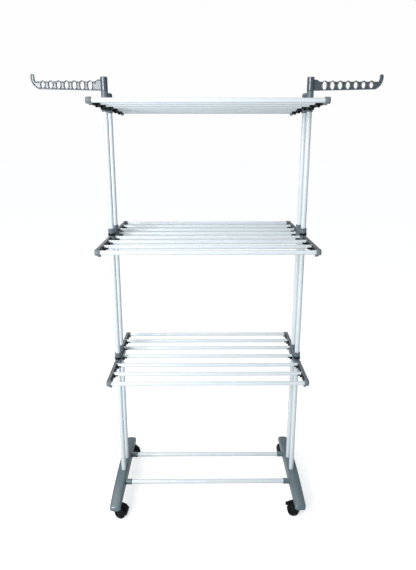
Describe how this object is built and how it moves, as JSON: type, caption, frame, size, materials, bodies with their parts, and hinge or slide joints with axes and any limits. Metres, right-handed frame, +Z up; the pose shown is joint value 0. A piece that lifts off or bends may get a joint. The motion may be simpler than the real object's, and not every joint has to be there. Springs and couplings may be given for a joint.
{
  "type": "clothes drying rack",
  "caption": "Upright clothes drying rack on casters: shelves of white tube bars that fold up in wings, and swivelling grey hanger arms on its posts.",
  "frame": {"origin": "on the floor under the middle of the rack", "axes": "+Z up, -Y to the front, X from the left side to the right side"},
  "size_m": [1.246, 0.657, 1.7092],
  "materials": {
    "white_tube": "gloss white powder coat",
    "grey_plastic": "moulded, satin",
    "foot_plastic": "moulded, satin",
    "arm_plastic": "moulded, satin",
    "black_plastic": "moulded",
    "wheel_plastic": "moulded nylon",
    "steel": "zinc plated"
  },
  "bodies": {
    "frame": {"foot_left": "foot_plastic", "foot_right": "foot_plastic", "base_bars": "white_tube", "base_bar_sockets": "grey_plastic", "posts_lower": "white_tube", "posts_middle": "white_tube", "posts_upper": "white_tube", "fixed_bars": "white_tube", "fixed_bar_sockets": "black_plastic", "hinge_pins": "black_plastic", "hinge_rests": "black_plastic", "post_clips": "black_plastic", "caster_stems": "steel", "connector_bottom_left": "grey_plastic", "connector_bottom_right": "grey_plastic", "connector_middle_left": "grey_plastic", "connector_middle_right": "grey_plastic", "connector_top_left": "grey_plastic", "connector_top_right": "grey_plastic"},
    "wing_bottom_front": {"wing_bottom_front_rail_left": "grey_plastic", "wing_bottom_front_rail_right": "grey_plastic", "wing_bottom_front_bars": "white_tube", "wing_bottom_front_sockets": "black_plastic"},
    "wing_bottom_rear": {"wing_bottom_rear_rail_left": "grey_plastic", "wing_bottom_rear_rail_right": "grey_plastic", "wing_bottom_rear_bars": "white_tube", "wing_bottom_rear_sockets": "black_plastic"},
    "wing_middle_front": {"wing_middle_front_rail_left": "grey_plastic", "wing_middle_front_rail_right": "grey_plastic", "wing_middle_front_bars": "white_tube", "wing_middle_front_sockets": "black_plastic"},
    "wing_middle_rear": {"wing_middle_rear_rail_left": "grey_plastic", "wing_middle_rear_rail_right": "grey_plastic", "wing_middle_rear_bars": "white_tube", "wing_middle_rear_sockets": "black_plastic"},
    "wing_top_front": {"wing_top_front_rail_left": "grey_plastic", "wing_top_front_rail_right": "grey_plastic", "wing_top_front_bars": "white_tube", "wing_top_front_sockets": "black_plastic"},
    "wing_top_rear": {"wing_top_rear_rail_left": "grey_plastic", "wing_top_rear_rail_right": "grey_plastic", "wing_top_rear_bars": "white_tube", "wing_top_rear_sockets": "black_plastic"},
    "arm_left": {"arm_left": "arm_plastic"},
    "arm_right": {"arm_right": "arm_plastic"},
    "caster_front_left": {"caster_front_left_hood": "black_plastic", "caster_front_left_axle": "steel"},
    "wheels_front_left": {"caster_front_left_wheels": "wheel_plastic"},
    "brake_lever_left": {"brake_lever_left": "black_plastic"},
    "caster_front_right": {"caster_front_right_hood": "black_plastic", "caster_front_right_axle": "steel"},
    "wheels_front_right": {"caster_front_right_wheels": "wheel_plastic"},
    "brake_lever_right": {"brake_lever_right": "black_plastic"},
    "caster_rear_left": {"caster_rear_left_hood": "black_plastic", "caster_rear_left_axle": "steel"},
    "wheels_rear_left": {"caster_rear_left_wheels": "wheel_plastic"},
    "caster_rear_right": {"caster_rear_right_hood": "black_plastic", "caster_rear_right_axle": "steel"},
    "wheels_rear_right": {"caster_rear_right_wheels": "wheel_plastic"}
  },
  "joints": [
    {"name": "wing_bottom_front_hinge", "type": "hinge", "parent": "frame", "child": "wing_bottom_front", "pos_m": [0, -0.068, 0.616], "axis": [-1, 0, 0], "range_deg": [0, 90]},
    {"name": "wing_bottom_rear_hinge", "type": "hinge", "parent": "frame", "child": "wing_bottom_rear", "pos_m": [0, 0.068, 0.616], "axis": [1, 0, 0], "range_deg": [0, 90]},
    {"name": "wing_middle_front_hinge", "type": "hinge", "parent": "frame", "child": "wing_middle_front", "pos_m": [0, -0.068, 1.126], "axis": [-1, 0, 0], "range_deg": [0, 90]},
    {"name": "wing_middle_rear_hinge", "type": "hinge", "parent": "frame", "child": "wing_middle_rear", "pos_m": [0, 0.068, 1.126], "axis": [1, 0, 0], "range_deg": [0, 90]},
    {"name": "wing_top_front_hinge", "type": "hinge", "parent": "frame", "child": "wing_top_front", "pos_m": [0, -0.068, 1.602], "axis": [-1, 0, 0], "range_deg": [0, 90]},
    {"name": "wing_top_rear_hinge", "type": "hinge", "parent": "frame", "child": "wing_top_rear", "pos_m": [0, 0.068, 1.602], "axis": [1, 0, 0], "range_deg": [0, 90]},
    {"name": "arm_left_swivel", "type": "hinge", "parent": "frame", "child": "arm_left", "pos_m": [-0.366, -0.043, 1.68], "axis": [0, 0, -1], "range_deg": [-180, 0]},
    {"name": "arm_right_swivel", "type": "hinge", "parent": "frame", "child": "arm_right", "pos_m": [0.366, -0.043, 1.68], "axis": [0, 0, 1], "range_deg": [-180, 0]},
    {"name": "caster_front_left_swivel", "type": "hinge", "parent": "frame", "child": "caster_front_left", "pos_m": [-0.372, -0.203, 0.057], "axis": [0, 0, 1], "continuous": true},
    {"name": "wheels_front_left_spin", "type": "hinge", "parent": "caster_front_left", "child": "wheels_front_left", "pos_m": [-0.35321, -0.20984, 0.023], "axis": [0.342, 0.9397, 0], "continuous": true},
    {"name": "brake_left_press", "type": "hinge", "parent": "caster_front_left", "child": "brake_lever_left", "pos_m": [-0.33582, -0.21617, 0.0475], "axis": [0.342, 0.9397, 0], "range_deg": [0, 16]},
    {"name": "caster_front_right_swivel", "type": "hinge", "parent": "frame", "child": "caster_front_right", "pos_m": [0.372, -0.203, 0.057], "axis": [0, 0, 1], "continuous": true},
    {"name": "wheels_front_right_spin", "type": "hinge", "parent": "caster_front_right", "child": "wheels_front_right", "pos_m": [0.3523, -0.19953, 0.023], "axis": [-0.1736, -0.9848, 0], "continuous": true},
    {"name": "brake_right_press", "type": "hinge", "parent": "caster_front_right", "child": "brake_lever_right", "pos_m": [0.33409, -0.19631, 0.0475], "axis": [-0.1736, -0.9848, 0], "range_deg": [0, 16]},
    {"name": "caster_rear_left_swivel", "type": "hinge", "parent": "frame", "child": "caster_rear_left", "pos_m": [-0.372, 0.203, 0.057], "axis": [0, 0, 1], "continuous": true},
    {"name": "wheels_rear_left_spin", "type": "hinge", "parent": "caster_rear_left", "child": "wheels_rear_left", "pos_m": [-0.35603, 0.21504, 0.023], "axis": [-0.6018, 0.7986, 0], "continuous": true},
    {"name": "caster_rear_right_swivel", "type": "hinge", "parent": "frame", "child": "caster_rear_right", "pos_m": [0.372, 0.203, 0.057], "axis": [0, 0, 1], "continuous": true},
    {"name": "wheels_rear_right_spin", "type": "hinge", "parent": "caster_rear_right", "child": "wheels_rear_right", "pos_m": [0.36716, 0.22241, 0.023], "axis": [-0.9703, -0.2419, 0], "continuous": true}
  ]
}
